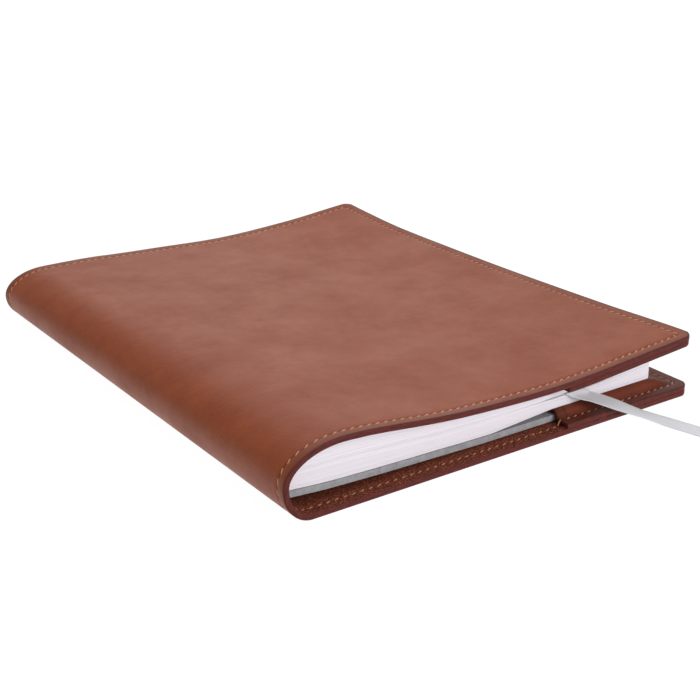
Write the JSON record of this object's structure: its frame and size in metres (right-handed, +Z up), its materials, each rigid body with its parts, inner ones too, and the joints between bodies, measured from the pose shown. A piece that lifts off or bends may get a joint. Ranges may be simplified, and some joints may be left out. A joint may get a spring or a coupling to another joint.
{
  "type": "leather notebook cover",
  "caption": "Sewn leather cover with inner pockets, folded round a bound notebook with a ribbon bookmark; opens flat about its spine.",
  "frame": {"origin": "centre of the closed object's footprint, on the surface it lies on", "axes": "+X from the spine to the fore-edge, +Y from the foot of the notebook to its head, +Z up through the closed covers"},
  "size_m": [0.21, 0.311, 0.0303],
  "materials": {
    "cover_leather": "satin",
    "pocket_leather": "satin",
    "thread": "matte",
    "paper": "matte",
    "grey_board": "matte",
    "binding_cloth": "matte",
    "satin_ribbon": "satin"
  },
  "bodies": {
    "back": {"spine_strip_1": "cover_leather", "back_panel": "cover_leather", "back_pocket": "pocket_leather", "back_seam_foot": "thread", "back_seam_head": "thread", "back_pocket_seam": "thread", "notebook_back_board": "grey_board", "lower_signature_1": "paper", "lower_signature_2": "paper", "lower_signature_3": "paper", "lower_signature_4": "paper", "spine_lining": "binding_cloth", "ribbon_bookmark": "satin_ribbon"},
    "spine": {"spine_strip_2": "cover_leather", "spine_strip_3": "cover_leather", "spine_strip_4": "cover_leather"},
    "front": {"spine_strip_5": "cover_leather", "front_panel": "cover_leather", "front_pocket": "pocket_leather", "front_seam": "thread", "notebook_front_card": "grey_board"},
    "upper_pages": {"upper_signature_1": "paper", "upper_signature_2": "paper", "upper_signature_3": "paper"}
  },
  "joints": [
    {"name": "spine_fold_back", "type": "hinge", "parent": "back", "child": "spine", "pos_m": [-0.10105, 0, 0.00395], "axis": [0, -1, 0], "range_deg": [0, 90]},
    {"name": "spine_fold_front", "type": "hinge", "parent": "spine", "child": "front", "pos_m": [-0.10105, 0, 0.02555], "axis": [0, -1, 0], "range_deg": [0, 90]},
    {"name": "page_turn", "type": "hinge", "parent": "back", "child": "upper_pages", "pos_m": [-0.102, 0, 0.0162], "axis": [0, -1, 0], "range_deg": [0, 180]}
  ],
  "couplings": [
    {"joint": "spine_fold_front", "follows": "spine_fold_back", "ratio": 1},
    {"joint": "page_turn", "follows": "spine_fold_back", "ratio": 2}
  ]
}
